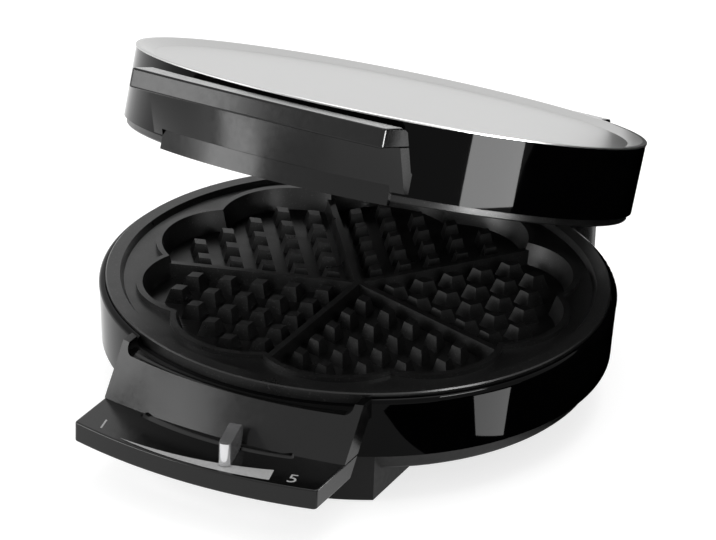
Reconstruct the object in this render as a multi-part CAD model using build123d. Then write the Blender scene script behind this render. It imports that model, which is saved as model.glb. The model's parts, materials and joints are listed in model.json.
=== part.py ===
from build123d import *
import os
from math import asin, cos, degrees, radians, sin, sqrt

# A five-heart waffle maker, lid open as it stands on a table.
# Lengths in mm. The model is laid out round the base's own centre, with z = 0 on the table and the
# handle towards -Y. It is written out with the middle of its footprint at the origin.

# Running and seating clearances
SEAT = 0.15          # moulded pieces that sit against each other
FIT = 0.05           # pin or spindle in its bore, on the radius
PART_GAP = 0.4       # plate in its housing, on the radius
SKIRT_GAP = 0.5      # lid's skirt in the base's recess, at each end
OVERCUT = 1.0        # how far a cut runs past the face it opens
HOLE_END = 1.0       # how far a blind hole runs past its screw

# Base drum
BASE_R = 104.0
RIM_Z = 47.0         # top of the lower plate's rim, where the two halves part
WALL = 2.6
WALL_FOOT_Z = 20.4
WALL_DRAFT = 1.2     # how much smaller the drum is at its foot
SHOULDER = 2.1
SHOULDER_DROP = 1.4  # housing edge below the plate's rim
LEDGE_Z = 41.0
LEDGE_T = 2.4
LEDGE_IN_R = BASE_R - 9.4

# Lowered front edge, where the lid's skirt comes down
RECESS_HALF_W = 49.2
RECESS_DEPTH = 4.3
RECESS_CORNER = 3.0
RECESS_ROUND = 4.0   # where its floor turns down into the panel's slope

# Front panel: distances towards -Y, in its middle and at its two ends
PANEL_HALF_W = 52.4
PANEL_TOP_Z = 46.5
PANEL_TOP_MID = BASE_R + 1.1
PANEL_TOP_END = BASE_R - 7.3
SHELF_Z = 27.4
CREASE_MID = BASE_R + 12.0
CREASE_END = BASE_R + 6.8
LIP_MID = BASE_R + 36.3
LIP_END = BASE_R + 29.4
LIP_H = 8.4
CHEEK_DEPTH = 11.0   # depth of the panel's cheeks, measured along Y
CHEEK_TOP_Z = 38.2
LIP_ROUND = 0.8
LIP_CORNER = 1.8     # rounding of a lip's two front corners
PANEL_SCREW_X = 38.0
PANEL_SCREW_Z = 32.0
PANEL_SCREW_BITE = 9.0

# Temperature slider
SLOT_R = BASE_R + 15.6
SLOT_W = 3.4
SLOT_HALF_X = 31.5
STEM_W = 3.2
STEM_T = 1.6
STEM_TOP_Z = 32.5
KNOB_W = 4.8
KNOB_FRONT = 16.7    # knob's nose ahead of the stem
KNOB_BACK = 2.4      # knob's back behind the stem
KNOB_TOE = 0.4
KNOB_HEEL = 4.0      # height over which the back leans clear of the slope
KNOB_BEVEL = 2.0
KNOB_NOSE = 0.5      # flat left in the middle of the rounded nose, on the half
KNOB_H = 9.3
KNOB_FLOAT = 0.35    # knob above the shelf
KNOB_REST_DEG = 4.7
KNOB_SKEW_DEG = 9.8  # knob's own turn on its stem
LEVER_Z = 21.6
LEVER_T = 1.5
LEVER_W = 9.0
LEVER_HUB_R = 8.0
LEVER_TAPER_R = SLOT_R - 19.6
LEVER_TIP = 2.0
SPINDLE_R = 3.0
SPINDLE_END = 1.0    # spindle below the lever
SPINDLE_TOP_GAP = 0.4
LEVER_SWEEP_DEG = 14.3
LEVER_ROOM_DEG = 4.0
LEVER_ROOM_Z = 2.0

# Baking plates
REBATE_WALL = 2.2    # the housing's wall round the plate's rim
PLATE_R = BASE_R - REBATE_WALL - PART_GAP
RIM_EDGE = 0.5       # bevel of the rim's outer edge
RIM_IN_R = PLATE_R - 7.4
RIM_CROWN = 1.6
BORDER_DROP = 2.2
BEAD_DROP = 0.3
BEAD_W = 2.6
CAVITY_DEPTH = 9.0
FLOOR_T = 2.5
PAN_R = LEDGE_IN_R - 2.2
PAN_BEVEL = 1.5
HEARTS = 5
HEART_START_DEG = 18.0
LOBE_R = RIM_IN_R - 7.0
CLEFT_R = LOBE_R - 7.0
NOTCH_R = LOBE_R - 9.5
CAVITY_TAPER = 0.965
STUD_PITCH = 13.2
STUD_FIRST = 0.70
STUD_ROWS = 5
STUD_BASE = 8.0
STUD_TOP = 4.6
STUD_H = 5.8
STUD_MARGIN = 6.2
ROOT = 0.6           # studs and ribs sunk into the floor
RIB_BASE = 5.0
RIB_TOP = 2.6
PLATE_GAP = 0.4      # between the rims when the lid is shut

# Heating under each plate
ELEMENT_R = 58.0
ELEMENT_TUBE_R = 3.2
ELEMENT_ARC_DEG = 324.0
TAIL_R = 2.2
TAIL_DROP = 9.5
SHIELD_R = PAN_R - 8.4
SHIELD_T = 0.6
SHIELD_DROP = 9.3    # shield below the underside of the pan
SHIELD_LIP = 4.0
SHIELD_HOLE = 2.0    # room round what passes through the shield
SHIELD_POST_AT_R = SHIELD_R - 10.0
POST_R = 4.0
THERMOSTAT_R = 12.0
THERMOSTAT_H = 8.6
TAB_HALF_W = 4.0
TAB_L = 6.0
TAB_TOP_DROP = 2.0
TAB_FOOT_DROP = 5.0
SPINDLE_BORE_DROP = 2.4
FUSE_R = 2.0
FUSE_L = 20.0
FUSE_X = 24.0
FUSE_Y = 22.0
TERMINAL_HALF_W = 16.0
TERMINAL_Y = BASE_R - 23.0
TERMINAL_HALF_L = 7.0
TERMINAL_H = 9.0
TERMINAL_HOLE_R = 2.2
TERMINAL_HOLE_DEPTH = 4.0
TERMINAL_PITCH = 10.0

# Screws
SCREW_R = 1.5
HEAD_R = 3.2
HEAD_H = 1.8
SCREW_GAP = 0.15
PLATE_SCREW_AT_R = LEDGE_IN_R + 3.0
PLATE_SCREW_BITE = 3.0
SHIELD_SCREW_BITE = 7.0
COVER_SCREW_BITE = 10.0
WEB_T = 3.0

# Bottom cover and feet
COVER_R = BASE_R - WALL_DRAFT - 1.2
COVER_FLOOR_R = COVER_R - 4.4
COVER_SCREW_AT_R = COVER_FLOOR_R - 6.7
COVER_FLOOR_Z = 12.0
COVER_EDGE = 1.0     # bevel round the cover's floor
COVER_GAP = 0.1      # cover's edge below the drum's foot
COVER_T = 2.2
HEAD_SINK = 0.4
FOOT_IN_X = 27.0
FOOT_OUT_X = 53.0
FOOT_BACK_Y = COVER_R - 46.6
FOOT_BOTTOM_Z = 0.8
PAD_R = 6.5
PAD_H = 2.2
PAD_X = 41.0
PAD_Y = COVER_R - 27.6

# Hinge
HINGE_Y = BASE_R + 18.0
HINGE_Z = 33.1
OPEN_DEG = 20.3
PIN_R = 3.0
KNUCKLE_R = 8.5
KNUCKLE_HALF_W = 30.9
KNUCKLE_BORE = 9.0
EAR_R = 9.5
EAR_IN_X = 31.2
PIN_SINK = 0.4       # pin's end inside the tower's side
PIN_BORE_END = 1.0
NECK_DEG = 50.0      # where the bracket's neck leaves the knuckle
NECK_IN = 1.0        # neck's root inside the bracket
NECK_FRONT = 2.0     # neck's front behind the drum
TOWER_HALF_W = 46.4
TOWER_FRONT_Y = BASE_R - 20.0
TOWER_FOOT_Z = 6.0
TOWER_SILL_Z = 22.5
TOWER_WALL = 2.8
GLAND_Z = 13.0
GLAND_BORE_R = 3.75
GLAND_NECK_R = 5.0
GLAND_FLANGE_R = 5.4
GLAND_LIP = 2.0
GLAND_NUT_T = 2.0

# Lid
LID_R = BASE_R - 0.8
LID_FOOT_R = LID_R - 0.3
LID_H = 31.7         # steel plate's edge down to the upper plate's rim
DRUM_H = 28.7
LID_WALL = 2.4
LID_POST_AT_R = LID_R - 6.0
LID_POST_R = 4.6
LID_SCREW_SINK = 6.0
STEEL_T = 0.8
STEEL_R = LID_R + 0.3
STEEL_RIM_R = STEEL_R - 1.9
STEEL_SLOPE_R = STEEL_RIM_R - 5.6
STEEL_DISH = 2.1
STEEL_BEVEL = 0.3
DECK_T = 2.2
BRACKET_HALF_W = 49.5
BRACKET_BACK_Y = HINGE_Y - 5.0
BRACKET_FOOT_Z = 51.2
BRACKET_DROP = 1.9
BRACKET_ROUND = 2.0

# Lid handle: drops are measured down from the steel plate's edge
GRIP_HALF_W = 53.7
GRIP_LIP_MID = LID_R + 20.2
GRIP_LIP_END = LID_R + 17.4
GRIP_DROP = 1.9
GRIP_LIP_H = 7.6
GRIP_SCREW_X = 24.0
GRIP_SCREW_DROP = 16.5
GRIP_SCREW_BITE = 6.0
FINGER_TOP_MID = LID_R + 3.6
FINGER_TOP_END = LID_R + 0.7
FINGER_FOOT_MID = LID_R + 2.7
FINGER_FOOT_END = LID_R - 11.1
FINGER_FOOT_DROP = 27.4
# Back of the handle's wall: drop, and how far its two ends lie ahead of the drum's side
GRIP_BACK = ((1.7, 1.9), (3.6, -3.5), (19.1, -13.5), (20.7, -17.1), (28.4, -19.6))
GRIP_BACK_BOW = 4.7  # how much further forward its middle stands than its ends
SKIRT_R = LID_R + 3.2
SKIRT_T = 2.0
SKIRT_TOP_DROP = 24.9
SKIRT_FOOT_DROP = 32.7

# Sizes that follow from the ones above
PLATE_FLOOR_Z = RIM_Z - CAVITY_DEPTH
PAN_Z = PLATE_FLOOR_Z - FLOOR_T
BORDER_Z = RIM_Z - BORDER_DROP
BEAD_Z = RIM_Z - BEAD_DROP
RECESS_Z = RIM_Z - RECESS_DEPTH
LIP_FOOT_Z = SHELF_Z - LIP_H
HOUSING_TOP_Z = RIM_Z - SHOULDER_DROP
LID_TOP_Z = RIM_Z + PLATE_GAP + LID_H
MIRROR_Z = RIM_Z + PLATE_GAP / 2
TOWER_BACK_Y = HINGE_Y + EAR_R
REAR_Y = TOWER_BACK_Y + GLAND_LIP
SHIFT_Y = (LIP_MID - REAR_Y) / 2
SHIELD_Z = PAN_Z - SHIELD_DROP
BOSS_TOP_Z = PAN_Z - 2.0
STEEL_SEAT_Z = LID_TOP_Z - STEEL_T - SEAT
DECK_Z = STEEL_SEAT_Z - STEEL_DISH
LID_SCREW_SEAT_Z = DECK_Z - DECK_T - LID_SCREW_SINK
LID_SCREW_TIP_Z = 2 * MIRROR_Z - LEDGE_Z - PLATE_SCREW_BITE
COVER_TOP_Z = WALL_FOOT_Z - COVER_GAP
GRIP_SCREW_Z = LID_TOP_Z - GRIP_SCREW_DROP
SKIRT_HALF_W = RECESS_HALF_W - SKIRT_GAP
COVER_SCREW_TIP_Z = COVER_FLOOR_Z + COVER_T + COVER_SCREW_BITE
SQUARE_DEGS = (0, 90, 180, 270)
CORNER_DEGS = (45, 135, 225, 315)


def ring(points):
    """A solid turned round the Z axis from points given as radius, height."""
    return revolve(Plane.XZ * make_face(Polyline(*points, close=True)), axis=Axis.Z)


def rod(radius, x, y, z_low, z_high):
    """An upright cylinder."""
    height = z_high - z_low
    return Pos(x, y, z_low + height / 2) * Cylinder(radius, height)


def rod_x(radius, x_low, x_high, y, z):
    """A cylinder along X."""
    length = x_high - x_low
    return Pos(x_low + length / 2, y, z) * Rot(0, 90, 0) * Cylinder(radius, length)


def rod_y(radius, x, y_low, y_high, z):
    """A cylinder along Y."""
    length = y_high - y_low
    return Pos(x, y_low + length / 2, z) * Rot(90, 0, 0) * Cylinder(radius, length)


def block(x_low, x_high, y_low, y_high, z_low, z_high):
    """A box between two corners."""
    size = (x_high - x_low, y_high - y_low, z_high - z_low)
    return Pos((x_low + x_high) / 2, (y_low + y_high) / 2, (z_low + z_high) / 2) * Box(*size)


def polar(radius, deg):
    return radius * cos(radians(deg)), radius * sin(radians(deg))


def bowed(half_w, mid, end, back, z):
    """A flat outline whose front is an arc: mid and end are distances towards -Y."""
    front = ThreePointArc((-half_w, -end), (0, -mid), (half_w, -end))
    rest = Polyline((half_w, -end), (half_w, -back), (-half_w, -back), (-half_w, -end))
    return Pos(0, 0, z) * make_face(front + rest)


def lip_slab(half_w, mid, end, back, z, height):
    """A bowed lip with its front corners and its front edges rounded."""
    slab = extrude(bowed(half_w, mid, end, back, z), height)
    slab = fillet(slab.edges().filter_by(Axis.Z).sort_by(Axis.Y)[:2], LIP_CORNER)
    level = slab.edges().filter_by(lambda e: e.bounding_box().size.Z < LIP_ROUND)
    return fillet(level.filter_by(lambda e: e.center().Y < LIP_CORNER - end), LIP_ROUND)


def joined(pieces):
    """One shape out of a list of separate solids."""
    return Compound([solid for piece in pieces for solid in piece.solids()])


def base_cone(extra):
    """The drum's tapered outside, grown by extra, for what sits against it."""
    height = PANEL_TOP_Z + 2
    slope = WALL_DRAFT / (HOUSING_TOP_Z - WALL_FOOT_Z)
    low = BASE_R - WALL_DRAFT - slope * WALL_FOOT_Z
    cone = Cone(low + extra, low + slope * height + extra, height)
    return Pos(0, 0, height / 2) * cone


def screw(x, y, z_head, z_tip):
    """A screw pointing up or down: head at z_head, shank to z_tip."""
    side = 1 if z_tip > z_head else -1
    shank = rod(SCREW_R, x, y, min(z_head, z_tip), max(z_head, z_tip))
    head_far = z_head + side * HEAD_H
    return shank + rod(HEAD_R, x, y, min(z_head, head_far), max(z_head, head_far))


def recess_room():
    """The room over the lowered front edge, rounded at its two lower corners."""
    face = make_face(Polyline((-RECESS_HALF_W, RECESS_Z), (RECESS_HALF_W, RECESS_Z),
                              (RECESS_HALF_W, 2 * RIM_Z), (-RECESS_HALF_W, 2 * RIM_Z), close=True))
    face = fillet(face.vertices().sort_by(Axis.Y)[:2], RECESS_CORNER)
    return Pos(0, -BASE_R / 2, 0) * extrude(Plane.XZ * face, BASE_R)


def base_housing():
    foot_r = BASE_R - WALL_DRAFT
    ledge_foot = LEDGE_Z - LEDGE_T
    edge_r = BASE_R - REBATE_WALL
    outer = Line((foot_r, WALL_FOOT_Z), (BASE_R, HOUSING_TOP_Z - SHOULDER))
    bend = SHOULDER * (1 - sqrt(0.5))
    top_r = BASE_R - SHOULDER
    shoulder = ThreePointArc((BASE_R, HOUSING_TOP_Z - SHOULDER),
                             (BASE_R - bend, HOUSING_TOP_Z - bend),
                             (top_r, HOUSING_TOP_Z))
    inner = Polyline((top_r, HOUSING_TOP_Z), (edge_r, HOUSING_TOP_Z), (edge_r, LEDGE_Z),
                     (LEDGE_IN_R, LEDGE_Z), (LEDGE_IN_R, ledge_foot),
                     (BASE_R - WALL, ledge_foot), (foot_r - WALL, WALL_FOOT_Z),
                     (foot_r, WALL_FOOT_Z))
    body = revolve(Plane.XZ * make_face(outer + shoulder + inner), axis=Axis.Z)
    for deg in CORNER_DEGS:
        x, y = polar(COVER_SCREW_AT_R, deg)
        boss = rod(POST_R, x, y, COVER_FLOOR_Z + COVER_T + SEAT, BOSS_TOP_Z)
        web = block(COVER_SCREW_AT_R, foot_r - WALL / 2, -WEB_T / 2, WEB_T / 2,
                    WALL_FOOT_Z, BOSS_TOP_Z)
        body += boss + Rot(0, 0, deg) * web
        body -= rod(SCREW_R + SCREW_GAP, x, y, 0, COVER_SCREW_TIP_Z + HOLE_END)
    body &= base_cone(0) + Pos(0, 0, HOUSING_TOP_Z) * Cylinder(BASE_R, 2 * SHOULDER)
    for deg in SQUARE_DEGS:
        x, y = polar(PLATE_SCREW_AT_R, deg)
        body -= rod(SCREW_R + SCREW_GAP, x, y, ledge_foot - OVERCUT, LEDGE_Z + OVERCUT)
    body -= recess_room()
    window = BASE_R * sin(radians(LEVER_SWEEP_DEG + LEVER_ROOM_DEG))
    body -= block(-window, window, -2 * BASE_R, -BASE_R / 2,
                  WALL_FOOT_Z - OVERCUT, LEVER_Z + LEVER_T + LEVER_ROOM_Z)
    for x in (-PANEL_SCREW_X, PANEL_SCREW_X):
        body -= rod_y(SCREW_R + SCREW_GAP, x, -2 * BASE_R, -BASE_R / 2, PANEL_SCREW_Z)
    return body


def slope_front(z):
    """Middle and end distances of the panel's sloped face at a height."""
    share = (PANEL_TOP_Z - z) / (PANEL_TOP_Z - SHELF_Z)
    mid = PANEL_TOP_MID + share * (CREASE_MID - PANEL_TOP_MID)
    end = PANEL_TOP_END + share * (CREASE_END - PANEL_TOP_END)
    return mid, end


def sloped_solid(half_w, z_low, z_high, inset, back):
    """What lies behind the sloped face, moved back by inset."""
    sections = []
    for z in (z_low, z_high):
        mid, end = slope_front(z)
        sections.append(bowed(half_w, mid - inset, end - inset, back, z))
    return loft(sections, ruled=True)


def recess_edge(back):
    """What the rounding between the recess's floor and the slope takes away."""
    core = sloped_solid(RECESS_HALF_W - RECESS_CORNER, SHELF_Z, RECESS_Z, 0, back)
    front = core.edges().group_by(Axis.Z)[-1].sort_by(Axis.Y)[0]
    return core - fillet(front, RECESS_ROUND)


def slot_ring(width, z_low, z_high):
    """The curved slot: a stretch of ring about the thermostat's spindle."""
    half = degrees(asin(SLOT_HALF_X / SLOT_R))
    arc = CenterArc((0, 0), SLOT_R, 270 - half, 2 * half)
    face = make_face(offset(arc, width / 2, side=Side.BOTH).edges())
    return Pos(0, 0, z_low) * extrude(face, z_high - z_low)


def front_panel():
    back = BASE_R / 2
    far_back = back - OVERCUT
    body = lip_slab(PANEL_HALF_W, LIP_MID, LIP_END, back, LIP_FOOT_Z, LIP_H)
    body += sloped_solid(PANEL_HALF_W, SHELF_Z, PANEL_TOP_Z, 0, back)
    body -= recess_room() + recess_edge(back)
    body -= sloped_solid(PANEL_HALF_W + OVERCUT, LIP_FOOT_Z - OVERCUT, CHEEK_TOP_Z, CHEEK_DEPTH,
                         far_back)
    lean = (CREASE_END - PANEL_TOP_END) / (PANEL_TOP_Z - SHELF_Z)
    inset = WALL * sqrt(1 + lean * lean)
    room = sloped_solid(PANEL_HALF_W - WALL, SHELF_Z - WALL, RECESS_Z - WALL, inset, far_back)
    under = bowed(PANEL_HALF_W - WALL, LIP_MID - WALL, LIP_END - WALL, far_back,
                  LIP_FOOT_Z - OVERCUT)
    body -= room + extrude(under, LIP_H - WALL + OVERCUT)
    mid, end = slope_front(PANEL_SCREW_Z)
    reach = end - inset / 2
    for x in (-PANEL_SCREW_X, PANEL_SCREW_X):
        boss = rod_y(POST_R, x, -reach, -BASE_R / 2, PANEL_SCREW_Z)
        body += boss - rod_y(SCREW_R + SCREW_GAP, x, WALL - reach, -BASE_R / 2, PANEL_SCREW_Z)
    body -= base_cone(SEAT)
    body -= slot_ring(SLOT_W, SHELF_Z - WALL - OVERCUT, SHELF_Z + OVERCUT)
    return body


def wall_screws(places, inner_r, bite, z):
    """Screws from inside a drum wall outwards, heads against the wall, pointing to -Y."""
    screws = []
    for x in places:
        wall_y = -sqrt(inner_r ** 2 - (abs(x) + HEAD_R) ** 2)
        head = rod_y(HEAD_R, x, wall_y + SEAT, wall_y + SEAT + HEAD_H, z)
        screws.append(head + rod_y(SCREW_R, x, wall_y - bite, wall_y + SEAT + HEAD_H / 2, z))
    return joined(screws)


def panel_screws():
    inner_r = BASE_R - WALL - WALL_DRAFT
    return wall_screws((-PANEL_SCREW_X, PANEL_SCREW_X), inner_r, PANEL_SCREW_BITE, PANEL_SCREW_Z)


def heart_outline(grow):
    """The scalloped outline of the hearts, each with two lobes, grown outwards by grow."""
    step = 360 / HEARTS
    edges = []
    for n in range(HEARTS):
        axis = HEART_START_DEG + n * step
        cleft = polar(CLEFT_R + grow, axis)
        for side in (-1, 1):
            notch = polar(NOTCH_R + grow, axis + side * step / 2)
            lobe = polar(LOBE_R + grow, axis + side * step / 4)
            edges.append(ThreePointArc(cleft, lobe, notch))
    return make_face(edges)


def rhombus(side, step, z):
    """A flat rhombus with its edges along the two ribs that border a heart."""
    half = radians(step / 2)
    return Pos(0, 0, z) * make_face(Polyline(
        (side * cos(half), 0), (0, side * sin(half)), (-side * cos(half), 0),
        (0, -side * sin(half)), close=True))


def lobe_limit(deg):
    """How far out a stud may stand at an angle from its heart's axis."""
    share = abs(deg) / (180 / HEARTS)
    bulge = 1 - abs(2 * share - 1)
    chord = CLEFT_R + share * (NOTCH_R - CLEFT_R)
    return chord + bulge * (LOBE_R - chord) - STUD_MARGIN


def studs():
    """Pyramid studs on a grid that runs along the ribs, heart by heart."""
    step = 360 / HEARTS
    low = PLATE_FLOOR_Z - ROOT
    one = loft([rhombus(STUD_BASE, step, low),
                rhombus(STUD_TOP, step, PLATE_FLOOR_Z + STUD_H)], ruled=True)
    placed = []
    for n in range(HEARTS):
        axis = HEART_START_DEG + n * step
        for i in range(STUD_ROWS):
            for j in range(STUD_ROWS):
                along = (STUD_FIRST + i) * STUD_PITCH
                across = (STUD_FIRST + j) * STUD_PITCH
                x = (along + across) * cos(radians(step / 2))
                y = (along - across) * sin(radians(step / 2))
                out = sqrt(x * x + y * y)
                if out < lobe_limit(degrees(asin(y / out))):
                    placed.append(Rot(0, 0, axis) * Pos(x, y, 0) * one)
    return placed


def ribs():
    """The walls between the hearts, from the centre to each notch."""
    step = 360 / HEARTS
    low = PLATE_FLOOR_Z - ROOT
    top = PLATE_FLOOR_Z + STUD_H
    reach = NOTCH_R + BEAD_W / 2
    placed = []
    for n in range(HEARTS):
        deg = HEART_START_DEG + (n + 0.5) * step
        foot = Pos(reach / 2, 0, low) * Rectangle(reach, RIB_BASE)
        crest = Pos(reach / 2, 0, top) * Rectangle(reach, RIB_TOP)
        placed.append(Rot(0, 0, deg) * loft([foot.face(), crest.face()], ruled=True))
    return placed


def baking_plate():
    body = ring([(0, PAN_Z), (PAN_R - PAN_BEVEL, PAN_Z), (PAN_R, PAN_Z + PAN_BEVEL),
                 (PAN_R, LEDGE_Z),
                 (PLATE_R, LEDGE_Z), (PLATE_R, RIM_Z - RIM_EDGE), (PLATE_R - RIM_EDGE, RIM_Z),
                 (RIM_IN_R + RIM_CROWN, RIM_Z), (RIM_IN_R, BORDER_Z), (0, BORDER_Z)])
    outline = heart_outline(0)
    bead = extrude(heart_outline(BEAD_W), BEAD_Z - BORDER_Z + OVERCUT)
    body += Pos(0, 0, BORDER_Z - OVERCUT) * bead
    floor = Pos(0, 0, PLATE_FLOOR_Z) * scale(outline, by=CAVITY_TAPER)
    body -= loft([floor.face(), (Pos(0, 0, BEAD_Z + 0.01) * outline).face()], ruled=True)
    body = body.fuse(*ribs(), *studs())
    for deg in SQUARE_DEGS:
        x, y = polar(PLATE_SCREW_AT_R, deg)
        body -= rod(SCREW_R + SCREW_GAP, x, y, LEDGE_Z - OVERCUT,
                    LEDGE_Z + PLATE_SCREW_BITE + HOLE_END)
    for deg in CORNER_DEGS:
        x, y = polar(SHIELD_POST_AT_R, deg)
        body += rod(POST_R, x, y, SHIELD_Z + SHIELD_T, PAN_Z + FLOOR_T / 2)
        body -= rod(SCREW_R + SCREW_GAP, x, y, SHIELD_Z, SHIELD_Z + SHIELD_SCREW_BITE + HOLE_END)
    return body


def tail_places():
    """Where the two ends of the heating tube turn down, and their angles."""
    gap = (360 - ELEMENT_ARC_DEG) / 2
    return [polar(ELEMENT_R, 90 + side * gap) for side in (-1, 1)]


def heating_element():
    z = PAN_Z - SEAT - ELEMENT_TUBE_R
    gap = (360 - ELEMENT_ARC_DEG) / 2
    path = Pos(0, 0, z) * CenterArc((0, 0), ELEMENT_R, 90 + gap, ELEMENT_ARC_DEG)
    start = path.edge()
    section = Plane(start @ 0, z_dir=start % 0) * Circle(ELEMENT_TUBE_R)
    body = sweep(section, path=start)
    for x, y in tail_places():
        body += rod(TAIL_R, x, y, z - TAIL_DROP, z) + Pos(x, y, z) * Sphere(ELEMENT_TUBE_R)
    return body


def heat_shield():
    top = SHIELD_Z + SHIELD_T
    hole_foot = SHIELD_Z - OVERCUT
    hole_top = top + OVERCUT
    body = rod(SHIELD_R, 0, 0, SHIELD_Z, top)
    body += ring([(SHIELD_R - SHIELD_T, SHIELD_Z), (SHIELD_R, SHIELD_Z),
                  (SHIELD_R, SHIELD_Z + SHIELD_LIP), (SHIELD_R - SHIELD_T, SHIELD_Z + SHIELD_LIP)])
    body -= rod(THERMOSTAT_R + SHIELD_HOLE, 0, 0, hole_foot, hole_top)
    for x, y in tail_places():
        body -= rod(TAIL_R + SHIELD_HOLE, x, y, hole_foot, hole_top)
    for deg in CORNER_DEGS:
        x, y = polar(SHIELD_POST_AT_R, deg)
        body -= rod(SCREW_R + SCREW_GAP, x, y, hole_foot, hole_top)
    return body


def shield_screws():
    screws = []
    for deg in CORNER_DEGS:
        x, y = polar(SHIELD_POST_AT_R, deg)
        screws.append(screw(x, y, SHIELD_Z - HEAD_H - SEAT, SHIELD_Z + SHIELD_SCREW_BITE))
    return joined(screws)


def lower_plate_screws():
    head = LEDGE_Z - LEDGE_T - HEAD_H - SEAT
    screws = []
    for deg in SQUARE_DEGS:
        x, y = polar(PLATE_SCREW_AT_R, deg)
        screws.append(screw(x, y, head, LEDGE_Z + PLATE_SCREW_BITE))
    return joined(screws)


def thermostat():
    top = PAN_Z - SEAT
    foot = top - THERMOSTAT_H
    body = rod(THERMOSTAT_R, 0, 0, foot, top)
    body += block(-TAB_HALF_W, TAB_HALF_W, THERMOSTAT_R / 2, THERMOSTAT_R + TAB_L,
                  top - TAB_FOOT_DROP, top - TAB_TOP_DROP)
    return body - rod(SPINDLE_R + FIT, 0, 0, foot - OVERCUT, top - SPINDLE_BORE_DROP)


def thermostat_spindle():
    top = PAN_Z - SEAT - SPINDLE_BORE_DROP - SPINDLE_TOP_GAP
    return rod(SPINDLE_R, 0, 0, LEVER_Z - SPINDLE_END, top)


def temperature_lever():
    tip = SLOT_R + LEVER_TIP
    half_w = LEVER_W / 2
    face = make_face(Polyline((-half_w, 0), (-half_w, -LEVER_TAPER_R), (-STEM_W, -SLOT_R),
                              (-STEM_W, -tip), (STEM_W, -tip), (STEM_W, -SLOT_R),
                              (half_w, -LEVER_TAPER_R), (half_w, 0), close=True))
    body = Pos(0, 0, LEVER_Z) * extrude(face + Circle(LEVER_HUB_R), LEVER_T)
    body -= rod(SPINDLE_R + FIT, 0, 0, LEVER_Z - OVERCUT, LEVER_Z + LEVER_T + OVERCUT)
    body += block(-STEM_W / 2, STEM_W / 2, -SLOT_R - STEM_T / 2, -SLOT_R + STEM_T / 2,
                  LEVER_Z, STEM_TOP_Z)
    return Rot(0, 0, KNOB_REST_DEG) * body


def temperature_knob():
    low = SHELF_Z + KNOB_FLOAT
    top = low + KNOB_H
    side = make_face(Polyline((-KNOB_TOE, low), (KNOB_BACK, low + KNOB_HEEL),
                              (KNOB_BACK, top - KNOB_BEVEL), (KNOB_BACK - KNOB_BEVEL, top),
                              (-KNOB_FRONT, top), (-KNOB_FRONT, low), close=True))
    body = extrude(Plane.YZ * side, KNOB_W / 2, both=True)
    nose = body.edges().filter_by(Axis.Z).sort_by(Axis.Y)[:2]
    body = Rot(0, 0, KNOB_SKEW_DEG) * fillet(nose, KNOB_W / 2 - KNOB_NOSE)
    half_w = STEM_W / 2 + SEAT
    half_t = STEM_T / 2 + SEAT
    body -= block(-half_w, half_w, -half_t, half_t, low - OVERCUT, STEM_TOP_Z + SEAT)
    return Rot(0, 0, KNOB_REST_DEG) * Pos(0, -SLOT_R, 0) * body


def thermal_fuse():
    return rod_x(FUSE_R, FUSE_X, FUSE_X + FUSE_L, FUSE_Y, PAN_Z - SEAT - FUSE_R)


def terminal_block():
    low = COVER_FLOOR_Z + COVER_T + SEAT
    top = low + TERMINAL_H
    body = block(-TERMINAL_HALF_W, TERMINAL_HALF_W, TERMINAL_Y - TERMINAL_HALF_L,
                 TERMINAL_Y + TERMINAL_HALF_L, low, top)
    for x in (-TERMINAL_PITCH, 0, TERMINAL_PITCH):
        body -= rod(TERMINAL_HOLE_R, x, TERMINAL_Y, top - TERMINAL_HOLE_DEPTH, top + OVERCUT)
    return body


def foot_blocks():
    feet = []
    for side_x in (-1, 1):
        for side_y in (-1, 1):
            x = sorted((side_x * FOOT_IN_X, side_x * FOOT_OUT_X))
            y = sorted((side_y * FOOT_BACK_Y, side_y * BASE_R))
            raw = block(x[0], x[1], y[0], y[1], FOOT_BOTTOM_Z, COVER_TOP_Z)
            feet.append(raw & rod(COVER_R, 0, 0, 0, WALL_FOOT_Z))
    return feet


def bottom_cover():
    floor_top = COVER_FLOOR_Z + COVER_T
    over = COVER_TOP_Z + OVERCUT
    skin = ring([(0, COVER_FLOOR_Z), (COVER_FLOOR_R - COVER_EDGE, COVER_FLOOR_Z),
                 (COVER_FLOOR_R, COVER_FLOOR_Z + COVER_EDGE), (COVER_R, COVER_TOP_Z),
                 (0, COVER_TOP_Z)])
    room = ring([(0, floor_top), (COVER_FLOOR_R - COVER_T, floor_top),
                 (COVER_R - COVER_T, over), (0, over)])
    body = skin.fuse(*foot_blocks()) - room
    for side_x in (-1, 1):
        for side_y in (-1, 1):
            body -= rod(PAD_R + SEAT, side_x * PAD_X, side_y * PAD_Y, 0, PAD_H + SEAT)
    for deg in CORNER_DEGS:
        x, y = polar(COVER_SCREW_AT_R, deg)
        body -= rod(SCREW_R + SCREW_GAP, x, y, 0, floor_top + OVERCUT)
        body -= rod(HEAD_R + SCREW_GAP, x, y, 0, COVER_FLOOR_Z + HEAD_SINK)
    return body


def rubber_feet():
    pads = [rod(PAD_R, a * PAD_X, b * PAD_Y, 0, PAD_H) for a in (-1, 1) for b in (-1, 1)]
    return joined(pads)


def bottom_screws():
    head = COVER_FLOOR_Z + HEAD_SINK - HEAD_H - SEAT
    screws = []
    for deg in CORNER_DEGS:
        x, y = polar(COVER_SCREW_AT_R, deg)
        screws.append(screw(x, y, head, COVER_SCREW_TIP_Z))
    return joined(screws)


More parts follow.
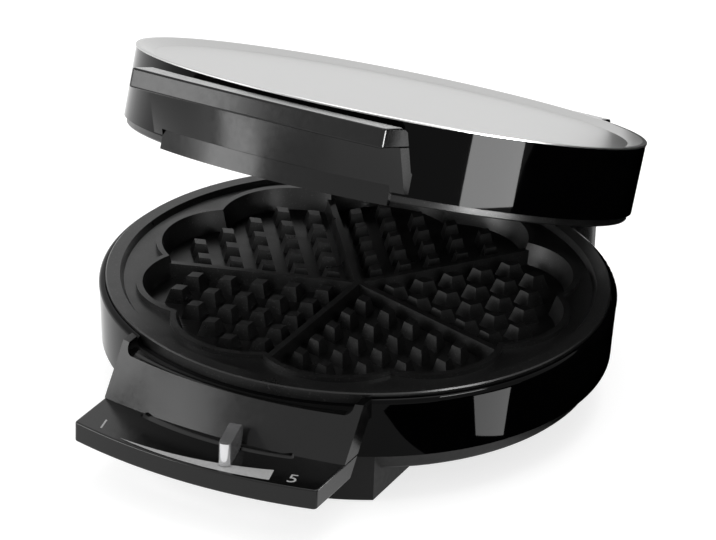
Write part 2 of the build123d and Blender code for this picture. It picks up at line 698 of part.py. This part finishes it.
def hinge_tower():
    side = make_face(Polyline((TOWER_FRONT_Y, TOWER_FOOT_Z), (TOWER_BACK_Y, TOWER_FOOT_Z),
                              (TOWER_BACK_Y, HINGE_Z), (HINGE_Y, HINGE_Z + EAR_R),
                              (TOWER_FRONT_Y, HINGE_Z + EAR_R), close=True))
    side += Pos(HINGE_Y, HINGE_Z) * Circle(EAR_R)
    body = extrude(Plane.YZ * side, TOWER_HALF_W, both=True)
    front = TOWER_FRONT_Y - OVERCUT
    body -= block(-EAR_IN_X, EAR_IN_X, front, 2 * BASE_R, TOWER_SILL_Z, 2 * HINGE_Z)
    body -= block(-TOWER_HALF_W + TOWER_WALL, TOWER_HALF_W - TOWER_WALL, front,
                  TOWER_BACK_Y - TOWER_WALL, 0, TOWER_SILL_Z - TOWER_WALL)
    body -= base_cone(SEAT)
    body -= rod(COVER_R + SEAT, 0, 0, 0, WALL_FOOT_Z)
    body -= rod_x(PIN_R + FIT, -2 * TOWER_HALF_W, 2 * TOWER_HALF_W, HINGE_Y, HINGE_Z)
    body -= rod_y(GLAND_NECK_R + FIT, 0, HINGE_Y, REAR_Y, GLAND_Z)
    return body


def hinge_pins():
    low = KNUCKLE_HALF_W - KNUCKLE_BORE + PIN_BORE_END
    high = TOWER_HALF_W - PIN_SINK
    return joined([rod_x(PIN_R, low, high, HINGE_Y, HINGE_Z),
                   rod_x(PIN_R, -high, -low, HINGE_Y, HINGE_Z)])


def cord_gland():
    inner = TOWER_BACK_Y - TOWER_WALL
    nut = inner - SEAT - GLAND_NUT_T
    body = rod_y(GLAND_NECK_R, 0, nut, REAR_Y - GLAND_LIP / 2, GLAND_Z)
    body += rod_y(GLAND_FLANGE_R, 0, TOWER_BACK_Y + SEAT, REAR_Y, GLAND_Z)
    body += rod_y(GLAND_FLANGE_R, 0, nut, inner - SEAT, GLAND_Z)
    return body - rod_y(GLAND_BORE_R, 0, nut - OVERCUT, REAR_Y + OVERCUT, GLAND_Z)


def lid_housing():
    foot_z = LID_TOP_Z - DRUM_H
    deck_foot = DECK_Z - DECK_T
    rebate_r = PLATE_R + PART_GAP
    rebate_z = 2 * MIRROR_Z - LEDGE_Z + SEAT
    body = ring([(0, deck_foot), (LID_R - LID_WALL, deck_foot), (LID_R - LID_WALL, rebate_z),
                 (rebate_r, rebate_z), (rebate_r, foot_z), (LID_FOOT_R, foot_z),
                 (LID_R, STEEL_SEAT_Z), (STEEL_RIM_R - STEEL_T / 2, STEEL_SEAT_Z),
                 (STEEL_SLOPE_R - STEEL_T / 2, DECK_Z), (0, DECK_Z)])
    for deg in CORNER_DEGS:
        x, y = polar(LID_POST_AT_R, deg)
        body += rod(LID_POST_R, x, y, rebate_z, deck_foot + DECK_T / 2)
        body -= rod(SCREW_R + SCREW_GAP, x, y, rebate_z - OVERCUT, DECK_Z + OVERCUT)
        body -= rod(HEAD_R + SCREW_GAP, x, y, LID_SCREW_SEAT_Z, DECK_Z + OVERCUT)
    for x in (-GRIP_SCREW_X, GRIP_SCREW_X):
        body -= rod_y(SCREW_R + SCREW_GAP, x, -2 * LID_R, -LID_R / 2, GRIP_SCREW_Z)
    return body


def lid_top_plate():
    top = LID_TOP_Z
    dish = top - STEEL_DISH
    return ring([(0, dish), (STEEL_SLOPE_R, dish), (STEEL_RIM_R, top),
                 (STEEL_R - STEEL_BEVEL, top), (STEEL_R, top - STEEL_BEVEL),
                 (STEEL_R, top - STEEL_T),
                 (STEEL_RIM_R - STEEL_T / 2, top - STEEL_T),
                 (STEEL_SLOPE_R - STEEL_T / 2, dish - STEEL_T), (0, dish - STEEL_T)])


def lid_envelope():
    """The room that the drum and its steel plate take, for what is fixed round them."""
    return (rod(LID_R + SEAT, 0, 0, 0, 2 * LID_TOP_Z)
            + rod(STEEL_R + SEAT, 0, 0, STEEL_SEAT_Z, 2 * LID_TOP_Z))


def upper_plate_screws():
    head_top = LID_SCREW_SEAT_Z + SEAT + HEAD_H
    screws = []
    for deg in CORNER_DEGS:
        x, y = polar(LID_POST_AT_R, deg)
        screws.append(screw(x, y, head_top, LID_SCREW_TIP_Z))
    return joined(screws)


def upper(shape):
    """The lid's copy of a piece that the base has upside down."""
    return shape.mirror(Plane.XY.offset(MIRROR_Z))


def upper_baking_plate():
    body = upper(baking_plate())
    for deg in CORNER_DEGS:
        x, y = polar(LID_POST_AT_R, deg)
        body -= rod(SCREW_R + SCREW_GAP, x, y, LID_SCREW_TIP_Z - HOLE_END, LID_TOP_Z)
    return body


def lid_hinge_bracket():
    top = LID_TOP_Z - BRACKET_DROP
    body = block(-BRACKET_HALF_W, BRACKET_HALF_W, LID_R / 2, BRACKET_BACK_Y, BRACKET_FOOT_Z, top)
    back = body.edges().filter_by(Axis.X).sort_by(Axis.Y)[-2:]
    body = fillet(back, BRACKET_ROUND)
    root = BRACKET_FOOT_Z + NECK_IN
    across, up = polar(KNUCKLE_R, NECK_DEG)
    neck = make_face(Polyline((LID_R + NECK_FRONT, root), (BRACKET_BACK_Y, root),
                              (HINGE_Y + across, HINGE_Z + up), (HINGE_Y, HINGE_Z),
                              (HINGE_Y - KNUCKLE_R, HINGE_Z), close=True))
    neck += Pos(HINGE_Y, HINGE_Z) * Circle(KNUCKLE_R)
    body += extrude(Plane.YZ * neck, KNUCKLE_HALF_W, both=True)
    low = KNUCKLE_HALF_W - KNUCKLE_BORE
    for bore in ((low, TOWER_HALF_W), (-TOWER_HALF_W, -low)):
        body -= rod_x(PIN_R + FIT, *bore, HINGE_Y, HINGE_Z)
    return body - lid_envelope()


def grip_back():
    """The free room behind the handle's wall, open towards the drum."""
    sections = []
    for drop, ahead in GRIP_BACK:
        end = LID_R + ahead
        sections.append(bowed(GRIP_HALF_W + OVERCUT, end + GRIP_BACK_BOW, end, LID_R / 3,
                              LID_TOP_Z - drop))
    return loft(sections, ruled=True)


def lid_handle():
    lip_foot = LID_TOP_Z - GRIP_DROP - GRIP_LIP_H
    root = LID_R / 2
    lip = lip_slab(GRIP_HALF_W, GRIP_LIP_MID, GRIP_LIP_END, root, lip_foot, GRIP_LIP_H)
    wall = loft([bowed(GRIP_HALF_W, FINGER_FOOT_MID, FINGER_FOOT_END, root,
                       LID_TOP_Z - FINGER_FOOT_DROP),
                 bowed(GRIP_HALF_W, FINGER_TOP_MID, FINGER_TOP_END, root, lip_foot)], ruled=True)
    body = lip + wall - grip_back()
    crease = LID_TOP_Z - SKIRT_TOP_DROP
    front = block(-SKIRT_HALF_W, SKIRT_HALF_W, -2 * LID_R, -LID_R / 2, 0, crease)
    body -= front - rod(SKIRT_R, 0, 0, 0, LID_TOP_Z)
    skirt = rod(SKIRT_R, 0, 0, LID_TOP_Z - SKIRT_FOOT_DROP, crease)
    body += (skirt & front) - rod(SKIRT_R - SKIRT_T, 0, 0, 0, LID_TOP_Z)
    tip = sqrt((LID_R - LID_WALL) ** 2 - (GRIP_SCREW_X + HEAD_R) ** 2) + GRIP_SCREW_BITE
    for x in (-GRIP_SCREW_X, GRIP_SCREW_X):
        body -= rod_y(SCREW_R + SCREW_GAP, x, -tip - HOLE_END / 2, -LID_R / 2, GRIP_SCREW_Z)
    return body - lid_envelope()


def lid_handle_screws():
    return wall_screws((-GRIP_SCREW_X, GRIP_SCREW_X), LID_R - LID_WALL, GRIP_SCREW_BITE,
                       GRIP_SCREW_Z)


BASE_PIECES = {
    "base_housing": base_housing, "front_panel": front_panel, "panel_screws": panel_screws,
    "lower_baking_plate": baking_plate, "lower_heating_element": heating_element,
    "lower_heat_shield": heat_shield, "lower_shield_screws": shield_screws,
    "lower_plate_screws": lower_plate_screws, "thermostat": thermostat,
    "thermostat_spindle": thermostat_spindle, "temperature_lever": temperature_lever,
    "temperature_knob": temperature_knob, "thermal_fuse": thermal_fuse,
    "terminal_block": terminal_block, "bottom_cover": bottom_cover, "rubber_feet": rubber_feet,
    "bottom_screws": bottom_screws, "hinge_tower": hinge_tower, "hinge_pins": hinge_pins,
    "cord_gland": cord_gland,
}
LID_PIECES = {
    "lid_housing": lid_housing, "lid_top_plate": lid_top_plate, "lid_handle": lid_handle,
    "lid_handle_screws": lid_handle_screws, "lid_hinge_bracket": lid_hinge_bracket,
    "upper_baking_plate": upper_baking_plate, "upper_plate_screws": upper_plate_screws,
    "upper_heating_element": lambda: upper(heating_element()),
    "upper_heat_shield": lambda: upper(heat_shield()),
    "upper_shield_screws": lambda: upper(shield_screws()),
}

os.makedirs("parts", exist_ok=True)
TO_ORIGIN = Pos(0, SHIFT_Y, 0)
OPENED = Pos(0, HINGE_Y, HINGE_Z) * Rot(-OPEN_DEG, 0, 0) * Pos(0, -HINGE_Y, -HINGE_Z)
for name, make in BASE_PIECES.items():
    export_step(TO_ORIGIN * make(), f"parts/{name}.step")
for name, make in LID_PIECES.items():
    export_step(TO_ORIGIN * OPENED * make(), f"parts/{name}.step")
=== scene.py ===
import bpy
import json
import math
from mathutils import Matrix, Vector


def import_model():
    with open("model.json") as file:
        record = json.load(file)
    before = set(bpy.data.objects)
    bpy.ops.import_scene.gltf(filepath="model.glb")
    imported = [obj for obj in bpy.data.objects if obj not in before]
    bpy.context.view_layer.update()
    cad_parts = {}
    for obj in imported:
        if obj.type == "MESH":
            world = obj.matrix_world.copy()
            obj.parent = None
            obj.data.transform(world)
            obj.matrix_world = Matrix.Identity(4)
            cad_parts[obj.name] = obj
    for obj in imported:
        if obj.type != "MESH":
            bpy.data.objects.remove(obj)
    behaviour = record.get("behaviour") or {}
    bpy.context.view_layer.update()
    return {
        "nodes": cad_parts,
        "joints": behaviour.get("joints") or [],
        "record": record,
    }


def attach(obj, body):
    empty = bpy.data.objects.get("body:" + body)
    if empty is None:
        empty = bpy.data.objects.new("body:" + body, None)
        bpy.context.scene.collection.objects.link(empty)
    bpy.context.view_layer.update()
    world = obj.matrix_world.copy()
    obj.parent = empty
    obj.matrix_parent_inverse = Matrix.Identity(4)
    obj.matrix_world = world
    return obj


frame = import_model()

# Places of the base, in metres: the spindle of the heat slider stands in the middle of its drum
SPINDLE = next(joint for joint in frame["joints"] if joint["name"] == "heat_slider")
MIDDLE_Y = SPINDLE["pos_m"][1]
RIM_Z = 0.047
SHELF_Z = 0.0274

# Camera, fitted to the ellipses of the lid and the base: a long lens, slightly rolled
AZIMUTH = 26.5
ELEVATION = 26.3
ROLL = 2.15
DISTANCE = 1.605
FOCAL_PX = 4000.0
IMAGE_W = 716
SENSOR_MM = 36.0
CLIP_NEAR = 0.05
CLIP_FAR = 20.0
AIM_PAST_RIM = Vector((-0.00069, 0.0007, 0.00149))
TARGET = Vector((0, MIDDLE_Y, RIM_Z)) + AIM_PAST_RIM

# Heat scale printed on the shelf: a wedge that widens towards the hot end, between two digits
PRINT_LIFT = 0.00006
WEDGE_R = 0.1392
WEDGE_WIDE = 0.0078
WEDGE_FROM_DEG = -12.8
WEDGE_TO_DEG = 13.8
WEDGE_STEPS = 40
DIGIT_R = 0.1362
DIGIT_H = 0.0062
DIGIT_DEG = 17.2
STROKE_LEAN_DEG = 12.0
FONT_SIZE_PER_H = 1.4

# Grain of plain metals and matte pieces: how much finer the relief is than the change of tone
RELIEF_FINER = 6

# Pale surroundings: the light that the world gives, and what is seen of the world and the floor
WORLD_LIGHT = 0.6
WORLD_SEEN = 1.0
FLOOR_SEEN = 0.74
FLOOR_TONE = 0.45
FLOOR_ROUGH = 0.9
FLOOR_HALF = 6.0

# Upright strip lights that the front of the drums reflects, in y from the base's middle, and in z
STRIP_LOW_X = 0.112
STRIP_LOW = ((-0.0685, 0.030), (-0.0636, 0.0065), (-0.0465, 0.008), (-0.045, 0.033))
STRIP_LOW_GLOW = 11.5
STRIP_HIGH_X = 0.130
STRIP_HIGH = ((-0.0775, 0.155), (-0.0905, 0.119), (-0.0445, 0.1095), (-0.0345, 0.139))
STRIP_HIGH_GLOW = 36.0

# Black boards that the right side of the drums reflects: one lies in x and y, one stands in x and z
BOARD_RIGHT_X = 1.2
BOARD_FRONT_Y = -0.13
BOARD_BACK_Y = 0.14
BOARD_Z = 0.0004
BOARD_FLOOR = ((0.095, BOARD_FRONT_Y), (BOARD_RIGHT_X, BOARD_FRONT_Y), (BOARD_RIGHT_X, BOARD_BACK_Y),
               (0.05, BOARD_BACK_Y), (0.05, 0.03), (0.095, 0.0))
BOARD_BACK = ((0.05, 0.0), (BOARD_RIGHT_X, 0.0), (BOARD_RIGHT_X, 0.17), (0.05, 0.17))


def outward(azimuth, elevation):
    """The direction from the object to a camera or lamp; azimuth from the front towards +X."""
    a, e = math.radians(azimuth), math.radians(elevation)
    return Vector((math.sin(a) * math.cos(e), -math.cos(a) * math.cos(e), math.sin(e)))


def camera():
    back = outward(AZIMUTH, ELEVATION)
    level = outward(AZIMUTH + 90, 0)
    upright = back.cross(level)
    roll = math.radians(ROLL)
    right = level * math.cos(roll) + upright * math.sin(roll)
    up = upright * math.cos(roll) - level * math.sin(roll)
    data = bpy.data.cameras.new("camera")
    data.sensor_width = SENSOR_MM
    data.lens = FOCAL_PX * SENSOR_MM / IMAGE_W
    data.clip_start = CLIP_NEAR
    data.clip_end = CLIP_FAR
    obj = bpy.data.objects.new("camera", data)
    place = Matrix((right, up, back)).transposed().to_4x4()
    place.translation = TARGET + back * DISTANCE
    obj.matrix_world = place
    bpy.context.scene.collection.objects.link(obj)
    bpy.context.scene.camera = obj


# Material helpers

def grey(v):
    return (v, v, v)


def blank(name, specular=0.5, metallic=0.0):
    """A material with only its output and a Principled shader."""
    mat = bpy.data.materials.new(name)
    mat.use_nodes = True
    tree = mat.node_tree
    shader = tree.nodes["Principled BSDF"]
    shader.inputs["Specular IOR Level"].default_value = specular
    shader.inputs["Metallic"].default_value = metallic
    return mat, tree, shader


def noise(tree, scale, detail=4.0, stretch=(1, 1, 1), rough=0.55):
    coord = tree.nodes.new("ShaderNodeTexCoord")
    mapping = tree.nodes.new("ShaderNodeMapping")
    mapping.inputs["Scale"].default_value = stretch
    tree.links.new(coord.outputs["Object"], mapping.inputs["Vector"])
    node = tree.nodes.new("ShaderNodeTexNoise")
    node.inputs["Scale"].default_value = scale
    node.inputs["Detail"].default_value = detail
    node.inputs["Roughness"].default_value = rough
    tree.links.new(mapping.outputs["Vector"], node.inputs["Vector"])
    return node.outputs["Fac"]


def ramp(tree, source, stops, target):
    """Colour a noise by stops of place and colour, and feed it to an input."""
    node = tree.nodes.new("ShaderNodeValToRGB")
    while len(node.color_ramp.elements) < len(stops):
        node.color_ramp.elements.new(0.5)
    for element, (place, colour) in zip(node.color_ramp.elements, stops):
        element.position = place
        element.color = (*colour, 1.0)
    tree.links.new(source, node.inputs["Fac"])
    tree.links.new(node.outputs["Color"], target)


def bump(tree, shader, height, strength, distance):
    node = tree.nodes.new("ShaderNodeBump")
    node.inputs["Strength"].default_value = strength
    node.inputs["Distance"].default_value = distance
    tree.links.new(height, node.inputs["Height"])
    tree.links.new(node.outputs["Normal"], shader.inputs["Normal"])


# Materials, one for each kind of surface

def gloss_black():
    """Lacquered black of the two drums, with faint polishing haze and dust."""
    mat, tree, shader = blank("gloss_black", specular=0.07)
    ramp(tree, noise(tree, 45.0), [(0.35, (0.0006, 0.0006, 0.0007)), (0.8, (0.0011, 0.0011, 0.0013))],
         shader.inputs["Base Color"])
    ramp(tree, noise(tree, 60.0, detail=5.0), [(0.3, grey(0.035)), (0.75, grey(0.06))],
         shader.inputs["Roughness"])
    bump(tree, shader, noise(tree, 900.0, detail=2.0), strength=0.03, distance=0.00001)
    return mat


def satin_black(name, tone, specular, rough):
    """Moulded black plastic with a fine spark-eroded grain."""
    mat, tree, shader = blank(name, specular=specular)
    ramp(tree, noise(tree, 35.0), [(0.25, grey(tone * 0.85)), (0.8, grey(tone * 1.15))],
         shader.inputs["Base Color"])
    ramp(tree, noise(tree, 400.0, detail=3.0), [(0.3, grey(rough - 0.03)), (0.7, grey(rough + 0.04))],
         shader.inputs["Roughness"])
    bump(tree, shader, noise(tree, 2600.0, detail=2.0), strength=0.16, distance=0.00003)
    return mat


def nonstick():
    """Speckled dark coating of the baking plates."""
    mat, tree, shader = blank("nonstick_coat", specular=0.34)
    speckle = noise(tree, 1500.0, detail=1.0, rough=0.3)
    ramp(tree, speckle, [(0.0, grey(0.006)), (0.66, grey(0.008)), (0.72, grey(0.03))],
         shader.inputs["Base Color"])
    ramp(tree, noise(tree, 90.0, detail=5.0), [(0.3, grey(0.27)), (0.75, grey(0.38))],
         shader.inputs["Roughness"])
    bump(tree, shader, noise(tree, 1100.0, detail=3.0), strength=0.18, distance=0.00004)
    return mat


def steel_skin():
    """Brushed steel of the lid's top, its grain along X."""
    mat, tree, shader = blank("steel_skin", metallic=1.0)
    shader.inputs["Specular Tint"].default_value = (0.92, 0.92, 0.92, 1)
    streak = noise(tree, 300.0, detail=6.0, stretch=(1, 14, 14), rough=0.7)
    ramp(tree, streak, [(0.25, (0.485, 0.485, 0.482)), (0.8, (0.555, 0.555, 0.551))],
         shader.inputs["Base Color"])
    ramp(tree, streak, [(0.3, grey(0.29)), (0.7, grey(0.40))], shader.inputs["Roughness"])
    bump(tree, shader, streak, strength=0.10, distance=0.00002)
    return mat


def grained(name, tone, spread, rough, scale, strength, distance, **finish):
    """A surface whose tone and gloss vary with one grain, over a finer relief."""
    mat, tree, shader = blank(name, **finish)
    grain = noise(tree, scale)
    dark = tuple(v * (1 - spread) for v in tone)
    light = tuple(min(1, v * (1 + spread)) for v in tone)
    smoothest, roughest = rough
    ramp(tree, grain, [(0.3, dark), (0.75, light)], shader.inputs["Base Color"])
    ramp(tree, grain, [(0.3, grey(smoothest)), (0.7, grey(roughest))], shader.inputs["Roughness"])
    bump(tree, shader, noise(tree, scale * RELIEF_FINER, detail=2.0), strength, distance)
    return mat


def metal(name, tone, rough, scale=200.0, spread=0.08, metallic=1.0):
    return grained(name, tone, spread, (rough - 0.04, rough + 0.05), scale,
                   strength=0.06, distance=0.00002, metallic=metallic)


def matte(name, tone, rough, scale=200.0, spread=0.1):
    return grained(name, tone, spread, (rough - 0.05, rough + 0.05), scale,
                   strength=0.1, distance=0.00003, specular=0.3)


MATERIALS = {
    "black_gloss": gloss_black(),
    "handle_satin": satin_black("handle_satin", tone=0.003, specular=0.30, rough=0.18),
    "under_matte": satin_black("under_matte", tone=0.006, specular=0.2, rough=0.55),
    "nonstick": nonstick(),
    "steel_skin": steel_skin(),
    "plated": metal("chrome_plate", (0.66, 0.66, 0.67), rough=0.2, scale=120.0, metallic=0.85),
    "zinc": metal("zinc_plate", (0.55, 0.55, 0.54), rough=0.35),
    "sheet": metal("bright_sheet", (0.7, 0.7, 0.71), rough=0.3),
    "element": metal("element_tube", (0.3, 0.27, 0.24), rough=0.5, spread=0.25),
    "ceramic_white": matte("ceramic_white", (0.78, 0.77, 0.73), rough=0.6),
    "soft_foot": matte("soft_foot", grey(0.02), rough=0.75),
}


def dress():
    slots = {part["node"]: part["material_slot"] for part in frame["record"]["subparts"]}
    for name, obj in frame["nodes"].items():
        obj.data.materials.clear()
        obj.data.materials.append(MATERIALS[slots[name]])


# What is printed on the shelf

def on_shelf(radius, deg):
    """A point on the shelf, deg counted from the front towards +X."""
    a = math.radians(deg)
    return Vector((radius * math.sin(a), MIDDLE_Y - radius * math.cos(a), SHELF_Z + PRINT_LIFT))


def wedge():
    """A flat strip along the outer arc, from a point at the cold end to its full width."""
    outer = []
    inner = []
    for i in range(WEDGE_STEPS + 1):
        share = i / WEDGE_STEPS
        deg = WEDGE_FROM_DEG + share * (WEDGE_TO_DEG - WEDGE_FROM_DEG)
        outer.append(on_shelf(WEDGE_R, deg))
        inner.append(on_shelf(WEDGE_R - WEDGE_WIDE * share, deg))
    verts = outer + inner[1:]
    faces = [(0, 1, WEDGE_STEPS + 1)]
    for i in range(1, WEDGE_STEPS):
        faces.append((i, i + 1, WEDGE_STEPS + 1 + i, WEDGE_STEPS + i))
    mesh = bpy.data.meshes.new("heat_scale")
    mesh.from_pydata(verts, [], faces)
    return bpy.data.objects.new("heat_scale", mesh)


def digit(name, text, deg):
    """A digit at one end of the scale. Both stand on its arc and lean by one angle to Y."""
    curve = bpy.data.curves.new(name, "FONT")
    curve.body = text
    curve.size = DIGIT_H * FONT_SIZE_PER_H
    curve.align_x = "CENTER"
    curve.align_y = "CENTER"
    curve.shear = math.tan(math.radians(deg - STROKE_LEAN_DEG))
    obj = bpy.data.objects.new(name, curve)
    obj.location = on_shelf(DIGIT_R, deg)
    obj.rotation_euler = (0, 0, math.radians(deg))
    return obj


def prints():
    ink = matte("scale_ink", grey(0.36), rough=0.5, scale=900.0)
    low = digit("heat_digit_low", "1", -DIGIT_DEG)
    high = digit("heat_digit_high", "5", DIGIT_DEG)
    for obj in (wedge(), low, high):
        obj.data.materials.append(ink)
        bpy.context.scene.collection.objects.link(obj)
        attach(obj, "base")


# Studio

def seen_strength(tree, unseen, seen_as, target):
    """One strength for rays that see the backdrop, and another for those that light the object."""
    path = tree.nodes.new("ShaderNodeLightPath")
    seen = path.outputs["Is Camera Ray"]
    for name in ("Is Glossy Ray", "Is Transmission Ray"):
        most = tree.nodes.new("ShaderNodeMath")
        most.operation = "MAXIMUM"
        tree.links.new(seen, most.inputs[0])
        tree.links.new(path.outputs[name], most.inputs[1])
        seen = most.outputs[0]
    level = tree.nodes.new("ShaderNodeMapRange")
    level.inputs["To Min"].default_value = unseen
    level.inputs["To Max"].default_value = seen_as
    tree.links.new(seen, level.inputs["Value"])
    tree.links.new(level.outputs[0], target)


def world():
    studio = bpy.data.worlds.new("studio")
    bpy.context.scene.world = studio
    studio.use_nodes = True
    back = studio.node_tree.nodes["Background"]
    back.inputs["Color"].default_value = (1, 1, 1, 1)
    seen_strength(studio.node_tree, WORLD_LIGHT, WORLD_SEEN, back.inputs["Strength"])


def floor():
    """A pale floor that glows only for the rays that see it, so it stays white and keeps a shadow."""
    r = FLOOR_HALF
    mesh = bpy.data.meshes.new("floor")
    mesh.from_pydata([(-r, -r, 0), (r, -r, 0), (r, r, 0), (-r, r, 0)], [], [(0, 1, 2, 3)])
    obj = bpy.data.objects.new("floor", mesh)
    bpy.context.scene.collection.objects.link(obj)
    mat, tree, shader = blank("floor_white", specular=0.1)
    shader.inputs["Base Color"].default_value = (*grey(FLOOR_TONE), 1)
    shader.inputs["Roughness"].default_value = FLOOR_ROUGH
    shader.inputs["Emission Color"].default_value = (1, 1, 1, 1)
    seen_strength(tree, 0.0, FLOOR_SEEN, shader.inputs["Emission Strength"])
    mesh.materials.append(mat)


def softbox(name, azimuth, elevation, distance, size, radiance):
    """A rectangular lamp that faces the object."""
    way = outward(azimuth, elevation)
    data = bpy.data.lights.new(name, "AREA")
    data.shape = "RECTANGLE"
    data.size, data.size_y = size
    data.energy = radiance * math.pi * size[0] * size[1]
    obj = bpy.data.objects.new(name, data)
    obj.location = TARGET + way * distance
    obj.rotation_euler = (-way).to_track_quat("-Z", "Y").to_euler()
    bpy.context.scene.collection.objects.link(obj)


def reflected_only(name, corners, strength):
    """A card of the studio that shows only in glossy surfaces: a lit strip, or a black board."""
    mesh = bpy.data.meshes.new(name)
    mesh.from_pydata(corners, [], [tuple(range(len(corners)))])
    mat = bpy.data.materials.new(name)
    mat.use_nodes = True
    tree = mat.node_tree
    tree.nodes.clear()
    glow = tree.nodes.new("ShaderNodeEmission")
    glow.inputs["Strength"].default_value = strength
    out = tree.nodes.new("ShaderNodeOutputMaterial")
    tree.links.new(glow.outputs[0], out.inputs["Surface"])
    mesh.materials.append(mat)
    obj = bpy.data.objects.new(name, mesh)
    obj.visible_camera = False
    obj.visible_diffuse = False
    obj.visible_transmission = False
    obj.visible_shadow = False
    bpy.context.scene.collection.objects.link(obj)


def strip(name, x, corners, strength):
    reflected_only(name, [(x, y + MIDDLE_Y, z) for y, z in corners], strength)


def boards():
    reflected_only("board_floor", [(x, y, BOARD_Z) for x, y in BOARD_FLOOR], 0.0)
    reflected_only("board_back", [(x, BOARD_BACK_Y, z) for x, z in BOARD_BACK], 0.0)


camera()
dress()
prints()
world()
softbox("key", azimuth=-38, elevation=12, distance=1.25, size=(0.54, 0.42), radiance=7.6)
softbox("side", azimuth=-63, elevation=20, distance=1.25, size=(0.54, 0.56), radiance=4.4)
softbox("top", azimuth=150, elevation=80, distance=1.6, size=(1.2, 1.0), radiance=2.8)
strip("strip_low", STRIP_LOW_X, STRIP_LOW, STRIP_LOW_GLOW)
strip("strip_high", STRIP_HIGH_X, STRIP_HIGH, STRIP_HIGH_GLOW)
boards()
floor()
bpy.context.scene.view_settings.view_transform = "Standard"
